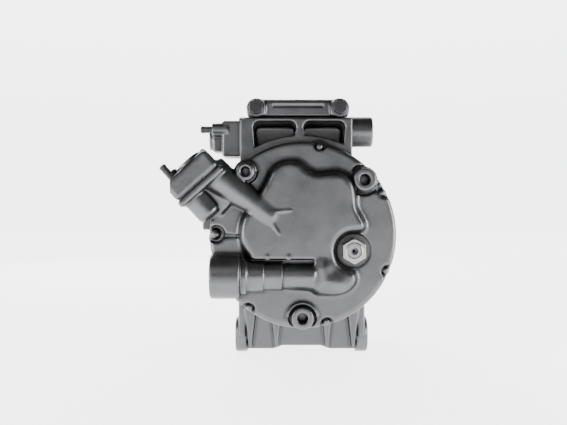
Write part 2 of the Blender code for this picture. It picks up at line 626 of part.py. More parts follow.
def clutch():
    pulley = piece("pulley", turned(pulley_profile(), 36), DARK_STEEL)
    for ring_radius, count, first in ((36, 3, 0.3), (44, 3, 1.2)):
        slots = []
        for number in range(count):
            start = math.degrees(first + TAU * number / count)
            slots.append(plate(arc(ring_radius + 0.9, start, start + 70, 5)
                               + arc(ring_radius - 0.9, start + 70, start, 5), -24, -16))
        cut(pulley, merged(*slots))
    piece("pulley_bearing_inner_race",
          tube(NOSE_RADIUS + GAP, 20.0, PULLEY_BEARING_REAR, PULLEY_BEARING_FRONT, 24), STEEL)
    piece("pulley_bearing_outer_race", tube(25.0, 27.5, PULLEY_BEARING_REAR, PULLEY_BEARING_FRONT, 24), STEEL)
    ball_cage("pulley_bearing_balls", 22.5, 2.2, (PULLEY_BEARING_REAR + PULLEY_BEARING_FRONT) / 2, 7)
    piece("pulley_snap_ring", tube(NOSE_RADIUS + GAP, 20.5, -24.4, -23.0, 24), SPRING)
    piece("field_coil", turned([
        (32.2, -24.0), (46.0, -24.0), (46.0, -45.0), (44.5, -47.8), (NOSE_RADIUS + GAP, -47.8),
        (NOSE_RADIUS + GAP, -45.4), (32.2, -45.0)], 40), DARK_STEEL)
    connector = plate([(-7, 46.4), (7, 46.4), (7, 57), (-7, 57)], -48.5, -43.2)
    connector_piece = piece("coil_connector", connector, BLACK)
    cut(connector_piece, plate([(-5, 50), (5, 50), (5, 58), (-5, 58)], -47.2, -44.5))

    hub = piece("clutch_hub", turned([
        (7.3, -9.4), (7.3, -21.0), (11.5, -21.0), (11.5, -12.6), (20.0, -12.6), (20.0, -9.4)],
        24), DARK_STEEL)
    armature = piece("armature_plate", tube(27.0, 55.0, PULLEY_FACE + AIR_GAP, -13.2, 40), STEEL)
    for number in range(3):
        arm_tip, side = spoke(number)
        arm = prism([(16, -7), (26, -5), (26, 5), (16, 7)], (0, -12.6, 0), Y_AXIS, arm_tip, side, 3.2)
        add(hub, arm)
        start, end = arm_tip * 22.5, arm_tip * 30 + side * 33
        run = (end - start).normalized()
        across = run.cross(Y_AXIS)
        strip = prism([(0, -5), (0, 5), ((end - start).length, 5), ((end - start).length, -5)],
                      start + Y_AXIS * -9.1 - run * 5, Y_AXIS, run, across, 0.8)
        piece(f"leaf_spring_{number + 1}", strip, SPRING)
        foot = arm_tip * 28.5 + side * 29.5
        add(armature, along_shaft((foot.x, foot.z), -14, -9.4, 4.2, 12))
    nut = piece("hub_nut", plate(hexagon(13), -8.7, -1.5), ZINC)
    cut(nut, along_shaft((0, 0), -10, 0, 4.3, 16))


# ---- valves and small hardware ------------------------------------------------------------
def helix(name, start, direction, radius, wire, turns, length, finish, origin):
    """A coil spring as one closed tube of wire."""
    direction = Vector(direction).normalized()
    first, second = side_axes(direction)
    steps = 8 * turns
    sides = 4
    shape = bmesh.new()
    rings = []
    for step in range(steps + 1):
        angle = TAU * turns * step / steps
        outward = first * math.cos(angle) + second * math.sin(angle)
        middle = Vector(start) + direction * (length * step / steps) + outward * radius
        ring = []
        for side in range(sides):
            turn = TAU * side / sides
            offset = outward * math.cos(turn) + direction * math.sin(turn)
            ring.append(shape.verts.new(middle + offset * wire))
        rings.append(ring)
    for here, there in zip(rings, rings[1:]):
        for side in range(sides):
            after = (side + 1) % sides
            shape.faces.new([here[side], here[after], there[after], there[side]])
    shape.faces.new(rings[0])
    shape.faces.new(rings[-1])
    bmesh.ops.recalc_face_normals(shape, faces=shape.faces)
    return piece(name, shape, finish, origin)


def relief_valve():
    body = piece("relief_valve_body", plate(hexagon(14.5, RELIEF), -179, -170.4), ZINC)
    add(body, along_shaft(RELIEF, -171, -161, 5.6, 16))
    cut(body, along_shaft(RELIEF, -180, -164, 4.6, 16))
    cut(body, along_shaft(RELIEF, -165, -160, 2.0, 12))
    seat = (RELIEF[0], 0, RELIEF[1])
    poppet = piece("relief_poppet", tube(1.5, 4.0, -166.5, -163.9 - GAP, 16, seat), SPRING, seat)
    add(poppet, tube(1.2, 1.9, -173.5, -165.5, 12, seat))
    helix("relief_spring", (RELIEF[0], -176.4, RELIEF[1]), Y_AXIS, 3.0, 0.4, 5, 9.3, SPRING, seat)
    piece("relief_spring_cap", tube(2.3, 4.3, -178.4, -177.1, 16, seat), STEEL)


def capacity_valve():
    valve_y, valve_z = VALVE_AXIS
    origin = (0, valve_y, valve_z)
    plunger = piece("capacity_plunger", turned([
        (0, -24), (6.6, -24), (6.6, -12), (0, -12)], 20, origin, X_AXIS), MACHINED, (-18, valve_y, valve_z))
    cut(plunger, across_shaft(VALVE_AXIS, -25, -15, 4.8, 16))
    helix("plunger_spring", (-41.2, valve_y, valve_z), X_AXIS, 3.9, 0.6, 6, 25.0, SPRING, origin)
    plug = piece("bore_plug", turned([
        (0, -55), (11.2, -55), (11.2, -43.3), (6.6, -43.3), (6.6, -42.2), (0, -42.2)], 20, origin, X_AXIS),
        STEEL)
    cut(plug, across_shaft(VALVE_AXIS, -56, -50, 7.5, 16))
    piece("plug_snap_ring", tube(8.5, 11.2, -57.6, -56.2, 20, origin, X_AXIS), SPRING)


def port_studs():
    piece("discharge_port_stud",
          rod(DISCHARGE_STUD + PORT_OUT * 11, DISCHARGE_STUD - PORT_OUT * 7, STUD_RADIUS, 12), BLACK)
    piece("suction_port_stud",
          rod(SUCTION_STUD - X_AXIS * 7.5, SUCTION_STUD + X_AXIS * 8, STUD_RADIUS, 12), BLACK)


rear_head()
discharge_port()
shell_housing()
front_housing()
gaskets()
case_bolts()
upper_bracket()
scroll_set()
crank_train()
clutch()
relief_valve()
capacity_valve()
port_studs()
bpy.context.view_layer.update()
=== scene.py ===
import json
import math

import bmesh
import bpy
import numpy as np
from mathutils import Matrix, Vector


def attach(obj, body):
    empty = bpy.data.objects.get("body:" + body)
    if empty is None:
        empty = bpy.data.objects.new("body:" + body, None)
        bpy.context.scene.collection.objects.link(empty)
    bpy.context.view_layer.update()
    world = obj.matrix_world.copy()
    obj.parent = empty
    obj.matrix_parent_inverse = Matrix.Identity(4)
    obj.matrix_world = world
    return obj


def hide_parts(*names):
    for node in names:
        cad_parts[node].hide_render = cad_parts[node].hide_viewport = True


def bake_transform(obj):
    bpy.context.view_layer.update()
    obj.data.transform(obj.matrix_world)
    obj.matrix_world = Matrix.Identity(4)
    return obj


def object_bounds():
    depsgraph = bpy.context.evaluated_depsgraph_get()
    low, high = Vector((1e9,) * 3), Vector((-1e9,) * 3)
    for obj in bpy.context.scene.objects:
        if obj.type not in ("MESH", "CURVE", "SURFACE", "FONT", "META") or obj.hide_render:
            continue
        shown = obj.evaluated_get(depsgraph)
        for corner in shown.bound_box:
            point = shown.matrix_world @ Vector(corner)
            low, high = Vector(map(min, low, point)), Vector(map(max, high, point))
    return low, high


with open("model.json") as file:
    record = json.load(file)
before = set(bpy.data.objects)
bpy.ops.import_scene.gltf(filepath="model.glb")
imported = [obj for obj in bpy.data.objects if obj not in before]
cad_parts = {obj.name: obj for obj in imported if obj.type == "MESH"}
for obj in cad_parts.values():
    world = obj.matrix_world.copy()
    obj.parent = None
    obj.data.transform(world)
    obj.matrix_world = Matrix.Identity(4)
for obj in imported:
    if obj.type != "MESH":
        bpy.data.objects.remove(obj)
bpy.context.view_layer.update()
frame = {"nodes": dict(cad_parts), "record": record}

# Looks of the automotive air-conditioning compressor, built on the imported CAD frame. The castings
# are sculpted as distance fields in millimetres and turned into meshes; turned and pressed parts
# are lathed. The shaft lies along Y, the rear head faces -Y and +Z is up.
MM = 0.001
TAU = 2 * math.pi

# ---- driving dimensions, millimetres --------------------------------------------------------
HEAD_RADIUS = 61.0
SHELL_RADIUS = 60.0
SEAT_RADIUS = 53.8            # shell bore round the fixed scroll
BORE_RADIUS = 51.2            # shell bore round the orbiting scroll
FACE = -170.0                 # flat rear face of the head
TOP = -180.0                  # raised discharge chamber cover
HEAD_FRONT = -160.5
CAVITY_REAR = -164.0          # inner face of the head
SHELL_REAR = -159.5
SHELL_SHOULDER = -137.5
SHELL_FRONT = -102.2
HOUSING_REAR = -101.2
FLANGE_FRONT = -90.3
HOUSING_FACE = -49.3
NOSE_RADIUS = 17.2

BOLT_ANGLES = [79.4 + 360.0 * k / 7 for k in range(7)]
BOLT_CIRCLE = 56.8
BOLT_HOLE = 2.8
COVERED_BOLTS = (1, 2)        # case bolts under the valve and port, with no rim notch

UPPER_BORE = (-114.0, 72.5)   # Y and Z of the mounting bolts, which run along X
LOWER_BORE = (-116.0, -72.2)
MOUNT_HOLE = 5.25
BRACKET_BOLTS = ((-31.0, 84.4), (24.8, 84.4))
BRACKET_HOLE = 3.2

LEFT_BOSS = (-37.2, 41)       # X and Z of what stands on the head's rear face
RIGHT_BOSS = (39.7, 35.8)
LOW_BOSS = (-0.4, -53.7)
RELIEF = (32.8, -10.3)
RIM_SEAT = (-56.4, 0.4)
VALVE = (-175.0, -26.5)       # Y and Z of the capacity valve's bore
CHAMBER = (-1, 12)            # discharge chamber

PORT_ALONG = np.array([math.cos(math.radians(42)), 0, math.sin(math.radians(42))])
PORT_OUT = np.array([-math.sin(math.radians(42)), 0, math.cos(math.radians(42))])
DEPTH = np.array([0, 1.0, 0])
PORT_CENTRE = np.array([-70.0, -172.4, 36.6])
PORT_FACE = PORT_CENTRE + PORT_OUT * 9.5
PORT_MOUTH = PORT_FACE + PORT_ALONG * 4
PORT_STUD = PORT_FACE - PORT_ALONG * 10.6
PORT_BORE = 6.0
SUCTION_PORT = (-134, 66)     # Y and Z of the suction bore and its stud
SUCTION_STUD = (-144.5, 71)
STUD_RADIUS = 2.5
STUD_HOLE = 2.8


# ---- distance fields ----------------------------------------------------------------------
class Grid:
    """A box of sample points in millimetres, kept as three open axes."""

    def __init__(self, low, high, step):
        self.low, self.step = np.array(low, float), step
        count = [int(math.ceil((b - a) / step)) + 1 for a, b in zip(low, high)]
        axes = [(a + step * np.arange(n)).astype(np.float32) for a, n in zip(low, count)]
        self.x = axes[0][:, None, None]
        self.y = axes[1][None, :, None]
        self.z = axes[2][None, None, :]


def join(a, b, k=0.0):
    """Union, filleted over about k."""
    if not k:
        return np.minimum(a, b)
    h = np.clip(0.5 + 0.5 * (b - a) / k, 0, 1)
    return b + (a - b) * h - k * h * (1 - h)


def carve(a, b, k=0.0):
    """a without b, with the edge eased over about k."""
    return -join(-a, b, k)


def both(a, b, k=0.0):
    return -join(-a, -b, k)


def swept(flat, along, near, far, ease=0.0):
    """A flat field given thickness from near to far, with eased end edges."""
    half = (far - near) / 2
    ends = np.abs(along - (near + far) / 2) - half
    if not ease:
        return np.maximum(flat, ends)
    a, b = flat + ease, ends + ease
    return np.minimum(np.maximum(a, b), 0) + np.hypot(np.maximum(a, 0), np.maximum(b, 0)) - ease


def outline_field(points, p, q):
    """Signed distance to a closed outline."""
    best = np.full(np.broadcast(p, q).shape, 1e9, np.float32)
    inside = np.zeros(best.shape, bool)
    for (ax, ay), (bx, by) in zip(points, points[1:] + points[:1]):
        ex, ey = bx - ax, by - ay
        wx, wy = p - ax, q - ay
        t = np.clip((wx * ex + wy * ey) / max(ex * ex + ey * ey, 1e-9), 0, 1)
        best = np.minimum(best, (wx - ex * t) ** 2 + (wy - ey * t) ** 2)
        if ay != by:
            crossing = (q < ay) != (q < by)
            inside ^= crossing & (wx < ex * wy / ey)
    return np.where(inside, -1, 1).astype(np.float32) * np.sqrt(best)


def smoothed(points, rounds=3):
    """Chaikin's corner cutting."""
    for _ in range(rounds):
        cut = []
        for (ax, ay), (bx, by) in zip(points, points[1:] + points[:1]):
            cut += [(0.75 * ax + 0.25 * bx, 0.75 * ay + 0.25 * by),
                    (0.25 * ax + 0.75 * bx, 0.25 * ay + 0.75 * by)]
        points = cut
    return points


def rod_y(g, centre, radius, near, far, ease=0.0):
    return swept(np.hypot(g.x - centre[0], g.z - centre[1]) - radius, g.y, near, far, ease)


def rod_x(g, centre, radius, near, far, ease=0.0):
    return swept(np.hypot(g.y - centre[0], g.z - centre[1]) - radius, g.x, near, far, ease)


def boxed(parts, ease):
    """A box from its distances past each pair of walls."""
    outside = np.sqrt(sum(np.maximum(p, 0) ** 2 for p in parts))
    return outside + np.minimum(np.maximum(np.maximum(parts[0], parts[1]), parts[2]), 0) - ease


def block(g, x, y, z, ease=0.0):
    """A box between pairs of limits, with eased edges."""
    parts = []
    for at, (low, high) in ((g.x, x), (g.y, y), (g.z, z)):
        parts.append(np.abs(at - (low + high) / 2) - (high - low) / 2 + ease)
    return boxed(parts, ease)


def turned_rod(g, start, end, radius, end_radius=None, ease=0.0):
    """A plain or tapered rod with flat ends between two points."""
    start, end = np.array(start, float), np.array(end, float)
    length = np.linalg.norm(end - start)
    ax = (end - start) / length
    dx, dy, dz = g.x - start[0], g.y - start[1], g.z - start[2]
    along = dx * ax[0] + dy * ax[1] + dz * ax[2]
    away = np.sqrt(np.maximum(dx * dx + dy * dy + dz * dz - along * along, 0))
    last = radius if end_radius is None else end_radius
    wall = away - (radius + (last - radius) * np.clip(along / length, 0, 1))
    return swept(wall, along, 0, length, ease)


def tilted_block(g, centre, first, second, third, halves, ease):
    """A box along three unit directions."""
    parts = []
    for axis, half in zip((first, second, third), halves):
        at = (g.x - centre[0]) * axis[0] + (g.y - centre[1]) * axis[1] + (g.z - centre[2]) * axis[2]
        parts.append(np.abs(at) - half + ease)
    return boxed(parts, ease)


def ball(g, centre, radius):
    return np.sqrt((g.x - centre[0]) ** 2 + (g.y - centre[1]) ** 2 + (g.z - centre[2]) ** 2) - radius


def outlined(g, points):
    """Signed distance to an outline of (x, z), the same all along the shaft."""
    return outline_field(points, g.x[:, :, 0], g.z[:, 0, :])[:, None, :]


def at_x(x, place):
    """A point on a line along X, from the line's (y, z)."""
    return x, place[0], place[1]


def on_circle(radius, degrees):
    return radius * math.cos(math.radians(degrees)), radius * math.sin(math.radians(degrees))


CASE_BOLTS = [on_circle(BOLT_CIRCLE, angle) for angle in BOLT_ANGLES]


def sampled(field, g, points):
    """The field at loose points, between samples."""
    at = (points - g.low) / g.step
    top = np.array(field.shape) - 2
    cell = np.clip(np.floor(at).astype(int), 0, top)
    f = np.clip(at - cell, 0, 1)
    total = 0
    for a in (0, 1):
        for b in (0, 1):
            for c in (0, 1):
                weight = (np.abs(1 - a - f[:, 0]) * np.abs(1 - b - f[:, 1]) * np.abs(1 - c - f[:, 2]))
                total = total + weight * field[cell[:, 0] + a, cell[:, 1] + b, cell[:, 2] + c]
    return total


CORNERS = [(a, b, c) for a in (0, 1) for b in (0, 1) for c in (0, 1)]


def skinned(name, field, g):
    """The surface where the field is zero, as one closed mesh with an openness attribute."""
    solid = field < 0
    shape = np.array(field.shape)
    blocks = [solid[a:shape[0] - 1 + a, b:shape[1] - 1 + b, c:shape[2] - 1 + c] for a, b, c in CORNERS]
    some = np.logical_or.reduce(blocks)
    every = np.logical_and.reduce(blocks)
    cells = np.argwhere(some & ~every)
    number = np.full(shape - 1, -1, np.int64)
    number[tuple(cells.T)] = np.arange(len(cells))
    total = np.zeros((len(cells), 3))
    hits = np.zeros(len(cells))
    for one in CORNERS:
        for axis in range(3):
            if one[axis]:
                continue
            other = tuple(v + (k == axis) for k, v in enumerate(one))
            fa = field[tuple((cells + one).T)]
            fb = field[tuple((cells + other).T)]
            crossed = (fa < 0) != (fb < 0)
            t = np.where(crossed, fa / np.where(crossed, fa - fb, 1), 0)
            point = cells + np.array(one, float)
            point[:, axis] += t
            total += np.where(crossed[:, None], point, 0)
            hits += crossed
    points = g.low + total / hits[:, None] * g.step
    step = g.step * 0.5
    slope = np.stack([sampled(field, g, points + d) - sampled(field, g, points - d)
                      for d in np.eye(3) * step], axis=1) / (2 * step)
    size = np.maximum((slope ** 2).sum(1), 0.5)
    points -= np.clip(sampled(field, g, points) / size, -step * 0.4, step * 0.4)[:, None] * slope * 0.6
    normal = slope / np.maximum(np.linalg.norm(slope, axis=1), 1e-6)[:, None]
    quads = []
    for axis in range(3):
        near = [slice(None)] * 3
        far = [slice(None)] * 3
        near[axis], far[axis] = slice(0, -1), slice(1, None)
        edges = np.argwhere(solid[tuple(near)] != solid[tuple(far)])
        second, third = (axis + 1) % 3, (axis + 2) % 3
        edges = edges[(edges[:, second] > 0) & (edges[:, third] > 0)]
        edges = edges[(edges[:, second] < shape[second] - 1) & (edges[:, third] < shape[third] - 1)]
        ring = []
        for b, c in ((-1, -1), (0, -1), (0, 0), (-1, 0)):
            cell = edges.copy()
            cell[:, second] += b
            cell[:, third] += c
            ring.append(number[tuple(cell.T)])
        ring = np.stack(ring, axis=1)
        outward = solid[tuple(edges.T)]
        quads.append(np.where(outward[:, None], ring, ring[:, ::-1]))
    quads = np.concatenate(quads)
    mesh = bpy.data.meshes.new(name)
    mesh.vertices.add(len(points))
    mesh.vertices.foreach_set("co", (points * MM).astype(np.float32).ravel())
    mesh.loops.add(quads.size)
    mesh.loops.foreach_set("vertex_index", quads.astype(np.int32).ravel())
    mesh.polygons.add(len(quads))
    mesh.polygons.foreach_set("loop_start", np.arange(0, quads.size, 4, dtype=np.int32))
    mesh.update(calc_edges=True)
    mesh.validate()
    mesh.shade_smooth()
    # openness: near 1 on open surface, lower in recesses; the casting material turns it into painted shade
    reach = 2.5
    open_share = np.clip(sampled(field, g, points + normal * reach) / reach, 0, 1)
    mark = mesh.attributes.new("open", "FLOAT", "POINT")
    mark.data.foreach_set("value", open_share.astype(np.float32))
    return mesh


# ---- materials ----------------------------------------------------------------------------
def metal(name, colour, rough, grain=0.0, grain_size=900.0, metallic=1.0, patch=0.12, painted_cavity_shade=False,
          turned_marks=0.0):
    """A procedural finish: slow colour patches, a fine grain and, on castings, painted shade that darkens the
    recesses.
    """
    made = bpy.data.materials.new(name)
    made.use_nodes = True
    nodes, links = made.node_tree.nodes, made.node_tree.links
    shader = nodes["Principled BSDF"]
    shader.inputs["Metallic"].default_value = metallic
    place = nodes.new("ShaderNodeTexCoord")
    slow = nodes.new("ShaderNodeTexNoise")
    slow.inputs["Scale"].default_value = 70.0
    slow.inputs["Detail"].default_value = 5.0
    slow.inputs["Roughness"].default_value = 0.6
    links.new(place.outputs["Object"], slow.inputs["Vector"])
    ramp = nodes.new("ShaderNodeMapRange")
    ramp.inputs["From Min"].default_value = 0.3
    ramp.inputs["From Max"].default_value = 0.7
    ramp.inputs["To Min"].default_value = 1.0 - patch
    ramp.inputs["To Max"].default_value = 1.0 + patch
    links.new(slow.outputs["Fac"], ramp.inputs["Value"])
    shade = ramp.outputs["Result"]
    # painted shade: the base colour darkens where the 'open' attribute marks the surface as enclosed,
    # standing in for the shade in recesses
    if painted_cavity_shade:
        openness = nodes.new("ShaderNodeAttribute")
        openness.attribute_name = "open"
        painted_shade = nodes.new("ShaderNodeMapRange")
        painted_shade.inputs["From Min"].default_value = 0.25
        painted_shade.inputs["From Max"].default_value = 0.95
        painted_shade.inputs["To Min"].default_value = 0.30
        painted_shade.inputs["To Max"].default_value = 1.0
        links.new(openness.outputs["Fac"], painted_shade.inputs["Value"])
        product = nodes.new("ShaderNodeMath")
        product.operation = "MULTIPLY"
        links.new(shade, product.inputs[0])
        links.new(painted_shade.outputs["Result"], product.inputs[1])
        shade = product.outputs["Value"]
    tint = nodes.new("ShaderNodeVectorMath")
    tint.operation = "SCALE"
    tint.inputs[0].default_value = colour
    links.new(shade, tint.inputs["Scale"])
    links.new(tint.outputs["Vector"], shader.inputs["Base Color"])
    worn = nodes.new("ShaderNodeMapRange")
    worn.inputs["From Min"].default_value = 0.3
    worn.inputs["From Max"].default_value = 0.7
    worn.inputs["To Min"].default_value = rough - 0.05
    worn.inputs["To Max"].default_value = rough + 0.07
    links.new(slow.outputs["Fac"], worn.inputs["Value"])
    links.new(worn.outputs["Result"], shader.inputs["Roughness"])
    if grain:
        fine = nodes.new("ShaderNodeTexNoise")
        fine.inputs["Scale"].default_value = grain_size
        fine.inputs["Detail"].default_value = 4.0
        fine.inputs["Roughness"].default_value = 0.65
        links.new(place.outputs["Object"], fine.inputs["Vector"])
        bump = nodes.new("ShaderNodeBump")
        bump.inputs["Strength"].default_value = grain
        bump.inputs["Distance"].default_value = 0.0004
        links.new(fine.outputs["Fac"], bump.inputs["Height"])
        links.new(bump.outputs["Normal"], shader.inputs["Normal"])
    elif turned_marks:
        ripple = nodes.new("ShaderNodeTexNoise")
        ripple.inputs["Scale"].default_value = 60.0
        ripple.inputs["Detail"].default_value = 6.0
        stretch = nodes.new("ShaderNodeMapping")
        stretch.inputs["Scale"].default_value = (1.0, 40.0, 1.0)
        links.new(place.outputs["Object"], stretch.inputs["Vector"])
        links.new(stretch.outputs["Vector"], ripple.inputs["Vector"])
        bump = nodes.new("ShaderNodeBump")
        bump.inputs["Strength"].default_value = turned_marks
        bump.inputs["Distance"].default_value = 0.0002
        links.new(ripple.outputs["Fac"], bump.inputs["Height"])
        links.new(bump.outputs["Normal"], shader.inputs["Normal"])
    return made


FINISH = {
    "cast_aluminium": metal("cast_aluminium", (0.105, 0.106, 0.109), 0.36, 0.26, 900.0, painted_cavity_shade=True),
    "machined_aluminium": metal("machined_aluminium", (0.34, 0.34, 0.35), 0.28, turned_marks=0.3),
    "steel": metal("steel", (0.26, 0.26, 0.27), 0.30, turned_marks=0.25),
    "zinc_steel": metal("zinc_steel", (0.32, 0.32, 0.31), 0.30, 0.08, 1500.0),
    "dark_steel": metal("dark_steel", (0.055, 0.055, 0.058), 0.36, 0.15, 1200.0),
    "spring_steel": metal("spring_steel", (0.16, 0.16, 0.17), 0.30, turned_marks=0.2),
    "rubber": metal("rubber", (0.03, 0.03, 0.03), 0.75, 0.15, 1200.0, 0.0),
    "gasket": metal("gasket", (0.16, 0.16, 0.17), 0.68, 0.10, 1500.0, 0.0),
    "black_plastic": metal("black_plastic", (0.022, 0.022, 0.024), 0.50, 0.12, 1800.0, 0.0),
}


def shown(name, mesh, slot, body, nodes=(), bend=None):
    """Puts a mesh in the scene riding on a body, or with its transform baked and no body when bend is given,
    in place of its CAD nodes.
    """
    made = bpy.data.objects.new(name, mesh)
    bpy.context.collection.objects.link(made)
    mesh.materials.clear()
    mesh.materials.append(FINISH[slot])
    if bend:
        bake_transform(made)
    else:
        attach(made, body)
    if nodes:
        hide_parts(*nodes)
    return made


# ---- rear head ----------------------------------------------------------------------------
def plateau_outline():
    upper = [(-26.7, 28.6), (-22.5, 35.8), (-20.2, 41.9), (-15.3, 46.0), (-8.1, 47.6), (-2.1, 46.4),
             (2.7, 41.9), (8.8, 39.2), (15.9, 40.0), (22, 40.6), (28, 38.2), (32.2, 33.4), (33.8, 26.2),
             (34, 17.8), (37.6, 11.8), (40.0, 7), (38.6, 3)]
    recess = [(RELIEF[0] + x, RELIEF[1] + z)
              for x, z in (on_circle(12.8, a) for a in range(85, 266, 18))]
    lower = [(34.3, -26.1), (33.3, -31.4), (28.6, -36.0), (21, -37.8), (11, -38.0), (8, -36.5), (4, -33.5),
             (-34.8, -33.5)]
    left = [(-35, -19.3), (-34, -14.3), (-38.4, -8.9), (-40.6, -1.5), (-40.3, 6.2), (-37.8, 13.2),
            (-32.6, 15.5)]
    return upper + recess + lower + left


def rear_head():
    g = Grid((-85, -191, -63), (63, -147.5, 63), 0.55)
    disc = rod_y(g, (0, 0), HEAD_RADIUS, FACE, HEAD_FRONT, 3.2)
    head = join(disc, rod_y(g, (0, 0), SEAT_RADIUS - 0.3, CAVITY_REAR, -148.5))
    flat = outlined(g, smoothed(plateau_outline(), 2))
    drafted = (flat + 0.22 * (-176.0 - g.y)) * 0.97
    plateau = both(swept(drafted, g.y, TOP - 5, -163), TOP - g.y, 3.4)
    head = join(head, plateau, 3.2)

    # capacity valve bore: a stepped cylinder lying across the head
    stepped = rod_x(g, VALVE, 14.4, -59.8, -40.4, 1.6)
    for radius, near, far, ease, fillet in (
            (11.4, -42, -36.2, 0.8, 1.2), (10.0, -38, -25.6, 0.5, 0.5), (10.5, -36.4, -35.2, 0.4, 0.4),
            (9.2, -26, -13.8, 0.5, 0.3), (9.9, -26.4, -25.3, 0.4, 0.3), (8.2, -14, 8.0, 2.2, 0.3),
            (9.2, -14.4, -13.4, 0.4, 0.3)):
        stepped = join(stepped, rod_x(g, VALVE, radius, near, far, ease), fillet)
    groove = block(g, (-36, 7), (TOP - 2, -176.6), (-21.5, -15.4), 1.0)
    head = carve(head, groove, 1.6)
    head = join(head, stepped, 1.4)
    swirl = turned_rod(g, (11.6, -177.2, -17.5), (15.4, -176.4, -32.0), 4.0, 5.4, 3.6)
    head = join(head, swirl, 5.0)
    lobe = turned_rod(g, (15.4, -175.8, -31.0), (27.0, -175.6, -30.5), 5.4, 5.0, 4.6)
    head = join(head, lobe, 5.0)
    for x in (-23.0, -9.5):
        head = join(head, turned_rod(g, (x, -179.3, -15.6), (x, -179.8, -12.4), 1.3, 0.7, 0.4), 1.0)

    # discharge port: block, lip, raised ring, stud boss, drop cylinder and long tube
    port = tilted_block(g, PORT_CENTRE + PORT_OUT * 2.2, PORT_ALONG, DEPTH, PORT_OUT, (17.6, 11.4, 7.3), 3.4)
    lip = tilted_block(g, PORT_CENTRE - PORT_OUT * 7.2, PORT_ALONG, DEPTH, PORT_OUT, (18.3, 12.0, 2.3), 1.8)
    port = join(port, lip, 1.0)
    port = join(port, turned_rod(g, PORT_MOUTH - PORT_OUT * 2, PORT_MOUTH + PORT_OUT * 2, 9.5, ease=0.7), 0.6)
    port = join(port, turned_rod(g, PORT_STUD - PORT_OUT * 3, PORT_STUD + PORT_OUT * 4.2, 6.4, 5.6, 0.9), 1.0)
    bump = PORT_FACE + PORT_ALONG * 15.2 - DEPTH * 4
    port = join(port, ball(g, bump - PORT_OUT * 0.8, 2.3), 1.2)
    web = turned_rod(g, (-66, -167, 33), (-48, -166.5, 19), 7.5, 9.0, 2.0)
    port = join(port, web, 2.0)
    neck = PORT_CENTRE - PORT_ALONG * 8
    drop = turned_rod(g, neck - PORT_OUT * 6, neck - PORT_OUT * 25.4, 8.5, 8.0, 3.0)
    tube = turned_rod(g, (-60, -170.4, 41.0), (-18.6, -176.6, 10.4), 11.6, 5.0, 1.6)
    port = join(port, drop, 1.6)
    port = join(port, tube, 2.4)
    head = join(head, port, 2.4)
    ridge = turned_rod(g, (-22.5, -179.4, 14.6), (-8, -180.0, 16.0), 1.3, 0.3, 0.3)
    head = join(head, ridge, 1.2)
    wedge = turned_rod(g, (-20.6, -179.2, 8.6), (-15.4, -180.2, 0.8), 1.4, 0.3, 0.3)
    head = join(head, wedge, 1.2)

    # bosses with threaded holes
    left_boss = join(rod_y(g, LEFT_BOSS, 7.6, -174.4, -165, 1.6),
                     rod_y(g, LEFT_BOSS, 6.0, -178, -165, 0.8), 0.8)
    head = join(head, left_boss, 1.6)
    left_ring = np.maximum(rod_y(g, LEFT_BOSS, 4.6, -178.6, -176), -rod_y(g, LEFT_BOSS, 3.7, -179, -170))
    head = join(head, left_ring, 0.5)
    right_boss = join(rod_y(g, RIGHT_BOSS, 7.4, -177, -165, 1.2),
                      rod_y(g, RIGHT_BOSS, 8.6, -172.6, -165, 1.2), 1.4)
    trench = np.maximum(rod_y(g, RIGHT_BOSS, 9.8, -171.6, -168.6), -rod_y(g, RIGHT_BOSS, 7.2, -180, -160))
    trench = np.maximum(trench, 33 - g.x)
    head = carve(head, trench, 1.6)
    head = join(head, right_boss, 1.0)
    gully = turned_rod(g, (46.0, FACE - 0.4, 30.4), (54.5, FACE - 0.4, 27.8), 1.8, 2.4, 0.8)
    head = carve(head, gully, 2.0)
    low_boss = rod_y(g, LOW_BOSS, 7.2, -176, -165, 1.3)
    rim = np.abs(np.hypot(g.x - LOW_BOSS[0], g.z - LOW_BOSS[1]) - 9.4) - 0.9
    arch = swept(rim, g.y, -172.6, -168, 0.6)
    arch = np.maximum(arch, -53.0 - g.z)
    moat = np.maximum(rod_y(g, LOW_BOSS, 8.8, -171.4, -168.4), -rod_y(g, LOW_BOSS, 7.0, -180, -160))
    head = carve(head, moat, 1.0)
    head = join(head, arch, 1.2)
    head = join(head, low_boss, 0.8)

    # rim notches over the case bolts, each with a small domed end inside
    for number, angle in enumerate(BOLT_ANGLES):
        if number in COVERED_BOLTS:
            continue
        notch = rod_y(g, on_circle(60.5, angle), 4.6, FACE - 8, -166.4, 0.8)
        head = carve(head, notch, 1.2)
        bump_x, bump_z = on_circle(58.4, angle)
        head = join(head, ball(g, (bump_x, -166.6, bump_z), 2.7), 0.8)

    # recess and dark round seat above the big cylinder, with its small lug
    head = carve(head, rod_y(g, RIM_SEAT, 5.6, FACE - 8, -167.4, 0.6), 1.4)
    head = join(head, ball(g, (-57.2, -167.2, 0.6), 3.5), 0.8)
    slit = turned_rod(g, (-53, FACE - 0.6, -0.6), (-42, FACE - 0.6, -0.9), 2.0, 1.0, 0.5)
    head = carve(head, slit, 1.0)
    head = carve(head, rod_y(g, RELIEF, 11.2, FACE - 1, FACE + 0.7), 0.8)

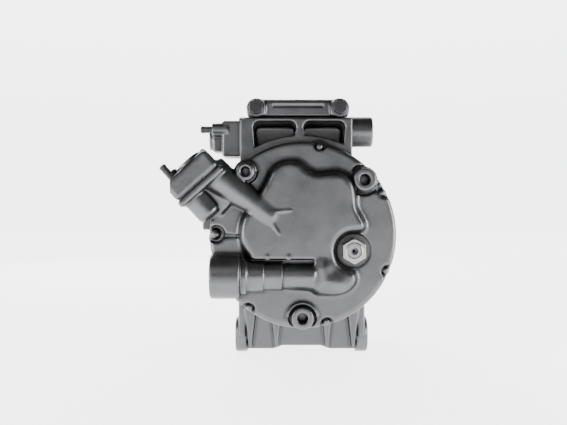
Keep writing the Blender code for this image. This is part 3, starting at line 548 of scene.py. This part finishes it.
    # inside: the discharge chamber, bores and threads
    head = np.maximum(head, -rod_y(g, (0, 0), 46, CAVITY_REAR, -140))
    head = np.maximum(head, -rod_y(g, CHAMBER, 24, -176.5, -150))
    bore = join(rod_x(g, VALVE, 11.5, -64, -43), join(rod_x(g, VALVE, 7, -44, -8), rod_x(g, VALVE, 4, -9, 3)))
    head = np.maximum(head, -bore)
    foot = PORT_CENTRE + PORT_ALONG * 4 - PORT_OUT * 6
    head = np.maximum(head, -turned_rod(g, PORT_MOUTH + PORT_OUT * 4, foot, PORT_BORE))
    head = np.maximum(head, -turned_rod(g, foot + PORT_OUT * 3, (-16, -172, 13), 4.0))
    head = np.maximum(head, -turned_rod(g, PORT_STUD + PORT_OUT * 4, PORT_STUD - PORT_OUT * 8, STUD_HOLE))
    for place, radius, near, far in ((LEFT_BOSS, 2.9, -182, -168), (RIGHT_BOSS, 3.6, -180, -163),
                                     (LOW_BOSS, 3.5, -180, -163), (RELIEF, 6.0, -176, -158)):
        head = np.maximum(head, -rod_y(g, place, radius, near, far))
    for place in CASE_BOLTS:
        head = np.maximum(head, -rod_y(g, place, BOLT_HOLE, -165, -159))
    return skinned("rear_head_casting", head, g)


# ---- shell --------------------------------------------------------------------------------
def window(g, left, right):
    radius, top, floor_radius = 4.5, 75.4, 66.2
    points = []
    for centre, first in ((right - radius, 0), (left + radius, 90)):
        for x, z in (on_circle(radius, first + a) for a in range(0, 91, 15)):
            points.append((centre + x, top - radius + z))
    for step in range(9):
        x = left + 1.2 + (right - left - 2.4) * step / 8
        points.append((x, math.sqrt(floor_radius ** 2 - x ** 2)))
    return outline_field(points, g.x[:, :, 0], g.z[:, 0, :])[:, None, :]


def shell():
    g = Grid((-69, -161, -86), (53, -100.5, 93), 0.68)
    body = rod_y(g, (0, 0), SHELL_RADIUS, SHELL_REAR, SHELL_FRONT, 0.6)
    for place in CASE_BOLTS:
        body = join(body, rod_y(g, place, 5.5, SHELL_REAR + 0.2, SHELL_FRONT - 0.2, 0.6), 3.0)
    frame_shape = outlined(g, [(-38.4, 77.6), (-41.5, 75.5), (-41.5, 40), (-30, 46), (0, 54), (28, 47),
                               (33, 44), (33, 77.6)])
    upper = swept(frame_shape, g.y, -158.9, -112, 0.8)
    upper = join(upper, rod_x(g, UPPER_BORE, 10.8, -44.8, 50.9, 1.2), 3.0)
    upper = join(upper, block(g, (-36, 32), (-120, -105), (45, 72), 1.5), 3.0)
    body = join(body, upper, 3.0)
    body = join(body, block(g, (-37, 30.5), (-146, -121), (74, 89), 2.2), 1.5)
    web = outlined(g, [(-41.5, -45), (-41.5, -81.6), (-20, -81.6), (-13.6, -79.3), (13.6, -79.3),
                       (20, -81.6), (41.5, -81.6), (41.5, -45), (30, -47), (0, -55), (-30, -47)])
    lower = swept(web, g.y, -125, -107, 1.0)
    for side in (-1, 1):
        near, far = sorted((side * 38.0, side * 46.7))
        lower = join(lower, rod_x(g, LOWER_BORE, 12.4, near, far, 1.4), 1.5)
        ear = block(g, sorted((side * 39.2, side * 44.2)), (-130, -104), (-72, -40), 1.4)
        lower = join(lower, ear, 1.5)
        for middle in (17.8, 36.0):
            points = [(side * middle - 4.2, -52), (side * middle + 4.2, -52),
                      (side * middle + 0.9, -80), (side * middle - 0.9, -80)]
            lower = join(lower, swept(outlined(g, points), g.y, -131, -122, 1.0), 1.2)
    body = join(body, lower, 3.2)
    port = block(g, (-54.4, -39.6), (-148, -125), (52.5, 77), 1.8)
    port = join(port, block(g, (-61.6, -50), (-143, -125.5), (56, 76), 2.4), 0.8)
    port = join(port, turned_rod(g, at_x(-50, SUCTION_STUD), at_x(-61.4, SUCTION_STUD), 4.4, ease=0.6), 0.8)
    port = join(port, turned_rod(g, at_x(-57, SUCTION_PORT), at_x(-63.6, SUCTION_PORT), 8.3, ease=0.6), 0.5)
    body = join(body, port, 1.4)
    body = join(body, block(g, (-66.4, -58), (-159.1, -150), (3, 11), 0.8), 1.0)
    for left, right in ((-33, -4.2), (0.4, 28.4)):
        body = carve(body, swept(window(g, left, right), g.y, -163, -127, 2.5), 1.0)
    inside = join(rod_y(g, (0, 0), SEAT_RADIUS, -165, SHELL_SHOULDER),
                  rod_y(g, (0, 0), BORE_RADIUS, -138, -98))
    body = np.maximum(body, -inside)
    for place in CASE_BOLTS:
        body = np.maximum(body, -rod_y(g, place, BOLT_HOLE, -162, -98))
    body = np.maximum(body, -rod_x(g, UPPER_BORE, MOUNT_HOLE, -48, 54))
    body = np.maximum(body, -rod_x(g, LOWER_BORE, MOUNT_HOLE, -50, 50))
    body = np.maximum(body, -turned_rod(g, at_x(-64.6, SUCTION_PORT), at_x(-45.6, SUCTION_PORT), PORT_BORE))
    passage_y = SUCTION_PORT[0]
    body = np.maximum(body, -turned_rod(g, (-48, passage_y, 64), (-22, passage_y, 42), 3.5))
    for place in BRACKET_BOLTS:
        body = np.maximum(body, -rod_y(g, place, BRACKET_HOLE, -150, -128))
    body = np.maximum(body, -turned_rod(g, at_x(-65, SUCTION_STUD), at_x(-52.6, SUCTION_STUD), STUD_HOLE))
    return skinned("shell_casting", body, g)


def bracket():
    g = Grid((-39, -160, 78), (33, -145, 92), 0.4)
    section = outline_field([(-146.3, 79.3), (-146.3, 90.5), (-153, 90.5), (-154.8, 89.5), (-155.5, 87.5),
                             (-155.5, 79.3)], g.y[0], g.z[0])[None, :, :]
    bar = swept(section, g.x, -31, 25, 0.4)
    groove = rod_x(g, (-156.6, 86.0), 1.7, -20, 14, 0.4)
    bar = carve(bar, groove, 0.6)
    for x, z in BRACKET_BOLTS:
        bar = join(bar, rod_y(g, (x, z), 6.4, -158, -146.3, 1.2), 2.2)
        bar = join(bar, block(g, (x - 6, x + 6), (-158, -146.3), (79.3, 84), 1.0), 1.0)
    for place in BRACKET_BOLTS:
        bar = np.maximum(bar, -rod_y(g, place, BRACKET_HOLE, -162, -140))
    return skinned("bracket_bar", bar, g)


def front_casting():
    g = Grid((-62.5, -102.2, -62.5), (62.5, -19, 62.5), 0.8)
    radius = np.hypot(g.x, g.z)
    section = [(0, HOUSING_REAR), (HEAD_RADIUS, HOUSING_REAR), (HEAD_RADIUS, FLANGE_FRONT),
               (51, FLANGE_FRONT), (49, -87), (47.5, -62), (44, HOUSING_FACE), (0, HOUSING_FACE)]
    body = outline_field(section, radius, g.y)
    for angle, place in zip(BOLT_ANGLES, CASE_BOLTS):
        body = join(body, rod_y(g, place, 6.2, HOUSING_REAR, FLANGE_FRONT, 0.6), 2.0)
        rib_angle = math.radians(angle + 360.0 / 14)
        across = np.abs(-g.x * math.sin(rib_angle) + g.z * math.cos(rib_angle)) - 1.6
        outward = g.x * math.cos(rib_angle) + g.z * math.sin(rib_angle)
        slope = outward - (58.5 - (g.y - FLANGE_FRONT) * 0.42)
        rib = np.maximum(np.maximum(across, slope), np.maximum(20 - outward, np.abs(g.y + 75) - 17.5))
        body = join(body, rib, 2.4)
    body = np.maximum(body, np.maximum(radius - HEAD_RADIUS, np.abs(g.y + 75) - 26.2))
    nose = rod_y(g, (0, 0), NOSE_RADIUS, -60, -20, 0.6)
    body = join(body, nose, 1.2)
    bores = join(rod_y(g, (0, 0), 13.8, -71, -10), join(rod_y(g, (0, 0), 24.3, -86.5, -70.5),
                                                       rod_y(g, (0, 0), 27, -110, -86)))
    body = np.maximum(body, -bores)
    for place in CASE_BOLTS:
        body = np.maximum(body, -rod_y(g, place, BOLT_HOLE, -104, -86))
        body = np.maximum(body, -rod_y(g, place, 5.4, -90.2, -80))
    for number in range(3):
        body = np.maximum(body, -rod_y(g, on_circle(38.0, 17 + 120 * number), 2.8, -104, -94))
    return skinned("front_casting", body, g)


# ---- small hardware as fields -------------------------------------------------------------
def hexed(g, centre, flats, turn, near, far, chamfer):
    """A spanner hexagon with turned corners, along the shaft."""
    wall = -1e9
    for k in range(6):
        angle = turn + TAU * k / 6 + TAU / 12
        reach = (g.x - centre[0]) * math.cos(angle) + (g.z - centre[1]) * math.sin(angle)
        wall = np.maximum(wall, reach - flats / 2)
    body = swept(wall, g.y, near, far, 0.15)
    away = np.hypot(g.x - centre[0], g.z - centre[1])
    corner = flats / math.sqrt(3)
    for end, sign in chamfer:
        inward = -sign * (g.y - end)
        body = np.maximum(body, (away - 1.7 * inward - (corner - 0.8)) * 0.5)
    return body


def relief_body():
    x, z = RELIEF
    g = Grid((x - 10, -180.5, z - 10), (x + 10, -159.5, z + 10), 0.26)
    body = hexed(g, RELIEF, 14.5, math.pi / 2, -178.2, -170.4, ((-178.2, -1),))
    body = join(body, rod_y(g, RELIEF, 5.4, -179, -171, 0.5), 0.3)
    body = join(body, rod_y(g, RELIEF, 5.6, -171.5, -161, 0.3), 0.2)
    body = np.maximum(body, -rod_y(g, RELIEF, 4.6, -182, -164))
    body = np.maximum(body, -rod_y(g, RELIEF, 2.0, -165, -158))
    return skinned("relief_hexagon", body, g)


def case_bolt(place):
    x, z = place
    g = Grid((x - 6.5, -92, z - 6.5), (x + 6.5, -83, z + 6.5), 0.26)
    body = hexed(g, place, 8, math.pi / 2, -89.6, -84.5, ((-84.5, 1),))
    body = join(body, rod_y(g, place, 5.0, -90.0, -88.9, 0.4), 0.4)
    body = carve(body, ball(g, (x, -83.4, z), 3.0), 0.4)
    return skinned("case_bolt_head", body, g)


def flange_bolt(place):
    x, z = place
    g = Grid((x - 7.5, -165, z - 7.5), (x + 7.5, -156, z + 7.5), 0.24)
    body = rod_y(g, place, 5.8, -159.9, -158.3, 0.6)
    body = join(body, rod_y(g, place, 4.6, -163.4, -158.5, 0.9), 0.5)
    hexagon = hexed(g, place, 8.6, math.pi / 2, -163.2, -158.6, ((-163.2, -1),))
    body = join(body, hexagon, 0.3)
    body = carve(body, rod_y(g, place, 3.3, -166, -162.7, 0.3), 0.4)
    body = join(body, ball(g, (x, -161.6, z), 1.5), 0.4)
    return skinned("bracket_bolt_head", body, g)


def nut():
    g = Grid((-9.5, -10.2, -9.5), (9.5, -0.2, 9.5), 0.26)
    body = hexed(g, (0, 0), 13, math.pi / 2, -8.7, -1.6, ((-1.6, 1), (-8.7, -1)))
    body = np.maximum(body, -rod_y(g, (0, 0), 4.3, -14, 3))
    return skinned("nut", body, g)


# ---- lathed parts -------------------------------------------------------------------------
def lathe(name, profile, segments=128, start=(0, 0, 0), direction=(0, 1, 0), round_over=0.35):
    """A turned mesh from a closed outline of (radius, distance), with eased edges."""
    direction = Vector(direction).normalized()
    across = Vector((0, 0, 1)) if abs(direction.z) < 0.9 else Vector((1, 0, 0))
    first = (across - direction * across.dot(direction)).normalized()
    second = direction.cross(first)
    shape = bmesh.new()
    rings = []
    for radius, along in eased(profile, round_over):
        middle = Vector(start) + direction * along
        if radius < 1e-6:
            rings.append([shape.verts.new(middle * MM)])
            continue
        rings.append([shape.verts.new((middle + (first * math.cos(TAU * s / segments)
                                                 + second * math.sin(TAU * s / segments)) * radius) * MM)
                      for s in range(segments)])
    for here, there in zip(rings, rings[1:] + rings[:1]):
        if len(here) == 1 and len(there) == 1:
            continue
        for s in range(segments):
            t = (s + 1) % segments
            corners = [here[s % len(here)], here[t % len(here)], there[t % len(there)], there[s % len(there)]]
            shape.faces.new(list(dict.fromkeys(corners)))
    bmesh.ops.recalc_face_normals(shape, faces=shape.faces)
    mesh = bpy.data.meshes.new(name)
    shape.to_mesh(mesh)
    shape.free()
    mesh.shade_smooth()
    mesh.set_sharp_from_angle(angle=math.radians(38))
    return mesh


def eased(profile, amount):
    """The outline with each corner cut by two short steps; corners on the axis stay."""
    points = []
    count = len(profile)
    for k, here in enumerate(profile):
        before, after = profile[k - 1], profile[(k + 1) % count]
        here_v, before_v, after_v = Vector(here), Vector(before), Vector(after)
        if here[0] == 0 or not amount:
            points.append(here)
            continue
        back, ahead = before_v - here_v, after_v - here_v
        reach = min(amount, back.length * 0.4, ahead.length * 0.4)
        a, b = here_v + back.normalized() * reach, here_v + ahead.normalized() * reach
        points += [tuple(a), tuple((a + b) / 4 + here_v / 2), tuple(b)]
    return points


def with_cuts(mesh, cutters):
    """The mesh less the cutters, as a new mesh."""
    body = bpy.data.objects.new("cut_body", mesh)
    bpy.context.collection.objects.link(body)
    tools = []
    for cutter in cutters:
        tool = bpy.data.objects.new("cut_tool", cutter)
        bpy.context.collection.objects.link(tool)
        step = body.modifiers.new("cut", "BOOLEAN")
        step.operation = "DIFFERENCE"
        step.solver = "EXACT"
        step.object = tool
        tools.append(tool)
    bpy.context.view_layer.update()
    graph = bpy.context.evaluated_depsgraph_get()
    made = bpy.data.meshes.new_from_object(body.evaluated_get(graph))
    for gone in [body] + tools:
        bpy.data.objects.remove(gone, do_unlink=True)
    made.shade_smooth()
    made.set_sharp_from_angle(angle=math.radians(35))
    return made


def flat_plate(points, near, far, first=Vector((1, 0, 0)), second=Vector((0, 0, 1)), start=Vector((0, 0, 0)),
               ease=0.0):
    """An outline in two directions pushed along their normal from near to far."""
    shape = bmesh.new()
    push = first.cross(second)
    if push.y < 0:
        push = -push
    low = [shape.verts.new((start + first * a + second * b + push * near) * MM) for a, b in points]
    high = [shape.verts.new(v.co + push * (far - near) * MM) for v in low]
    shape.faces.new(low)
    shape.faces.new(high)
    for k in range(len(points)):
        n = (k + 1) % len(points)
        shape.faces.new([low[k], low[n], high[n], high[k]])
    bmesh.ops.recalc_face_normals(shape, faces=shape.faces)
    if ease:
        edges = [e for e in shape.edges if e.calc_face_angle(0) > math.radians(40)]
        bmesh.ops.bevel(shape, geom=edges, offset=ease * MM, segments=2, affect="EDGES", profile=0.5)
    mesh = bpy.data.meshes.new("plate")
    shape.to_mesh(mesh)
    shape.free()
    mesh.shade_smooth()
    mesh.set_sharp_from_angle(angle=math.radians(38))
    return mesh


def pulley():
    rim, root, rear, face, first_rib, pitch = 60.0, 57.4, -42.0, -17.5, -20.5, 3.56
    points = [(rim, first_rib)]
    for groove in range(6):
        near = first_rib - pitch * groove
        points += [(rim, near - 0.5), (root, near - 1.55), (root, near - 2.0), (rim - 0.1, near - 3.05),
                   (rim - 0.1, near - pitch)]
    points += [(rim, rear), (47.5, rear), (47.5, -22.5), (30.8, -22.5), (30.8, rear), (27.8, rear),
               (27.8, face), (56.0, face)]
    tools = []
    for radius, count, first in ((36, 3, 0.3), (44, 3, 1.2)):
        for number in range(count):
            begin = math.degrees(first + TAU * number / count)
            outer = [on_circle(radius + 0.9, begin + 70 * s / 16) for s in range(17)]
            inner = [on_circle(radius - 0.9, begin + 70 * s / 16) for s in range(16, -1, -1)]
            tools.append(flat_plate(outer + inner, -24, -16))
    return with_cuts(lathe("pulley_rotor", points, 160, round_over=0.22), tools)


def spoke(number):
    """Unit directions out along a clutch arm and square to it."""
    angle = math.radians(90 + 120 * number)
    return Vector((math.cos(angle), 0, math.sin(angle))), Vector((-math.sin(angle), 0, math.cos(angle)))


def clutch_plate():
    disc = lathe("armature_disc", [(27, -17.0), (55, -17.0), (55, -13.2), (27, -13.2)], 144, round_over=0.5)
    shown("armature_disc", disc, "steel", "armature", ("armature_plate",))
    hub_rear, hub_front = -12.6, -9.4
    flange = lathe("hub_flange", [(7.3, hub_front), (7.3, -21.0), (11.5, -21.0), (11.5, hub_rear),
                                  (20.0, hub_rear), (20.0, hub_front)], 96, round_over=0.6)
    shown("hub_flange", flange, "dark_steel", "crank", ("clutch_hub",))
    for number in range(3):
        arm, side = spoke(number)
        plate = flat_plate([(15, -7.4), (26.4, -5.2), (26.4, 5.2), (15, 7.4)], hub_rear, hub_front,
                           arm, side, ease=0.5)
        shown(f"hub_arm_{number + 1}", plate, "dark_steel", "crank")
        root, foot = arm * 22.5, arm * 28.5 + side * 29.5
        run = (foot - root).normalized()
        across = run.cross(Vector((0, 1, 0)))
        outline = leaf_outline((foot - root).length + 10)
        strip = flat_plate(outline, -9.1, -8.3, run, across, root - run * 5, 0.15)
        flex = ("armature", (root + run * 3.5) * MM, (foot - run * 3.5) * MM)
        shown(f"leaf_{number + 1}", strip, "spring_steel", "crank", (f"leaf_spring_{number + 1}",), flex)
        post = lathe("foot", [(0, -14), (4.2, -14), (4.2, hub_front), (0, hub_front)], 32,
                     (foot.x, 0, foot.z), round_over=0.3)
        shown(f"armature_foot_{number + 1}", post, "steel", "armature")
        shown(f"armature_rivet_{number + 1}", rivet(foot), "zinc_steel", "armature")
        shown(f"hub_rivet_{number + 1}", rivet(arm * 22.5), "zinc_steel", "crank")


def leaf_outline(length):
    """A leaf spring's plan, with round ends."""
    points = []
    for centre, first in ((length - 5, -90), (5, 90)):
        for step in range(13):
            x, z = on_circle(5, first + 180 * step / 12)
            points.append((centre + x, z))
    return points


def rivet(place):
    return lathe("rivet", [(0, -8.2), (3.4, -8.2), (3.2, -7.4), (2.2, -6.8), (0, -6.6)], 32,
                 (place.x, 0, place.z), round_over=0.25)


def threaded(start, end, radius, pitch, name):
    """A stud with ring threads and a chamfered end."""
    length = (Vector(end) - Vector(start)).length
    profile = [(0, 0), (radius, 0)]
    at = 1.0
    while at + pitch < length - 1.0:
        profile += [(radius, at), (radius - 0.38, at + pitch / 2)]
        at += pitch
    profile += [(radius, at), (radius, length - 0.7), (radius - 0.7, length), (0, length)]
    return lathe(name, profile, 32, start, Vector(end) - Vector(start), round_over=0.06)


def port_studs():
    for name, start, end in (
            ("discharge", PORT_STUD - PORT_OUT * 7, PORT_STUD + PORT_OUT * 11),
            ("suction", at_x(-53.6, SUCTION_STUD), at_x(-69.1, SUCTION_STUD))):
        stud = threaded(start, end, STUD_RADIUS, 0.85, f"{name}_stud")
        shown(f"{name}_stud", stud, "black_plastic", "housing", (f"{name}_port_stud",))


shown("rear_head_casting", rear_head(), "cast_aluminium", "housing", ("rear_head", "discharge_port_block"))
shown("shell_casting", shell(), "cast_aluminium", "housing", ("shell_housing",))
shown("front_casting", front_casting(), "cast_aluminium", "housing", ("front_housing",))
shown("bracket_bar", bracket(), "cast_aluminium", "housing", ("upper_bracket",))
shown("relief_hexagon", relief_body(), "zinc_steel", "housing", ("relief_valve_body",))
for number, place in enumerate(CASE_BOLTS, 1):
    shown(f"case_bolt_head_{number}", case_bolt(place), "zinc_steel", "housing")
for number, place in enumerate(BRACKET_BOLTS, 1):
    shown(f"bracket_bolt_head_{number}", flange_bolt(place), "dark_steel", "housing")
shown("clutch_nut", nut(), "zinc_steel", "crank", ("hub_nut",))
shown("pulley_rotor", pulley(), "dark_steel", "pulley_body", ("pulley",))
clutch_plate()
port_studs()
coil = lathe("coil_can", [(32.2, -24.0), (46.0, -24.0), (46.0, -45.0), (44.5, -47.8), (17.5, -47.8),
                          (17.5, -45.4), (32.2, -45.0)], 128, round_over=0.6)
shown("coil_can", coil, "dark_steel", "housing", ("field_coil",))
for end, near, far in (("rear", -160.2, -159.8), ("front", -101.9, -101.5)):
    ring = lathe(f"{end}_joint_ring", [(54.3, near), (60.5, near), (60.5, far), (54.3, far)], 144,
                 round_over=0.05)
    holes = [lathe("hole", [(0, near - 2), (3.1, near - 2), (3.1, far + 2), (0, far + 2)], 16, (x, 0, z),
                   round_over=0) for x, z in CASE_BOLTS]
    shown(f"{end}_joint_ring", with_cuts(ring, holes), "gasket", "housing", (f"{end}_gasket",))

# ---- every CAD node still shown gets its record slot's finish ------------------------------
record_slots = {row["node"]: row["material_slot"] for row in frame["record"]["subparts"]}
for node, carried in frame["nodes"].items():
    carried.data.materials.clear()
    carried.data.materials.append(FINISH[record_slots[node]])

# ---- studio -------------------------------------------------------------------------------
low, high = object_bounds()
level = low.z - 0.0005
sweep_profile = [(-3.0, 0.0), (1.4, 0.0)]
sweep_profile += [(1.4 + 0.8 * math.sin(math.radians(a)), 0.8 - 0.8 * math.cos(math.radians(a)))
                  for a in range(6, 91, 6)]
sweep_profile += [(2.2, 3.0)]
corners, faces = [], []
for y, z in sweep_profile:
    corners += [(-4.0, y, level + z), (4.0, y, level + z)]
for k in range(len(sweep_profile) - 1):
    faces.append((2 * k, 2 * k + 1, 2 * k + 3, 2 * k + 2))
floor_mesh = bpy.data.meshes.new("studio_floor")
floor_mesh.from_pydata(corners, [], faces)
floor_mesh.shade_smooth()
floor = bpy.data.objects.new("studio_floor", floor_mesh)
bpy.context.collection.objects.link(floor)
floor_paint = bpy.data.materials.new("studio_white")
floor_paint.use_nodes = True
paint = floor_paint.node_tree.nodes["Principled BSDF"]
paint.inputs["Base Color"].default_value = (0.92, 0.92, 0.92, 1)
paint.inputs["Roughness"].default_value = 0.9
paint.inputs["Specular IOR Level"].default_value = 0.1
paint.inputs["Emission Color"].default_value = (1, 1, 1, 1)
paint.inputs["Emission Strength"].default_value = 3.4
floor_mesh.materials.append(floor_paint)


def lamp(name, place, target, power, size, size_y=None):
    light = bpy.data.lights.new(name, "AREA")
    light.energy = power
    light.shape = "RECTANGLE"
    light.size = size
    light.size_y = size_y or size
    made = bpy.data.objects.new(name, light)
    made.location = place
    made.rotation_euler = (Vector(target) - Vector(place)).to_track_quat("-Z", "Y").to_euler()
    bpy.context.collection.objects.link(made)


lamp("low_left", (-0.60, -0.42, 0.0), (0, -0.17, 0), 6.0, 0.16, 0.5)
lamp("low_right", (0.60, -0.36, -0.01), (0, -0.17, 0), 9.0, 0.14, 0.5)
lamp("front_fill", (-0.25, -1.1, 0.55), (0, -0.15, 0), 1.6, 0.5, 0.5)
lamp("behind", (-0.3, 0.8, 0.5), (0, -0.05, 0), 6.0, 0.5, 0.5)

world = bpy.data.worlds.new("studio")
bpy.context.scene.world = world
world.use_nodes = True
ambient = world.node_tree.nodes["Background"]
ambient.inputs["Color"].default_value = (0.9, 0.9, 0.9, 1)
ambient.inputs["Strength"].default_value = 0.13

lens = bpy.data.cameras.new("camera")
lens.lens = 50.8
lens.sensor_width = 36.0
camera = bpy.data.objects.new("camera", lens)
camera.location = (-0.0127, -0.690, 0.0146)
camera.rotation_euler = (math.radians(90), 0, 0)
bpy.context.collection.objects.link(camera)
bpy.context.scene.camera = camera
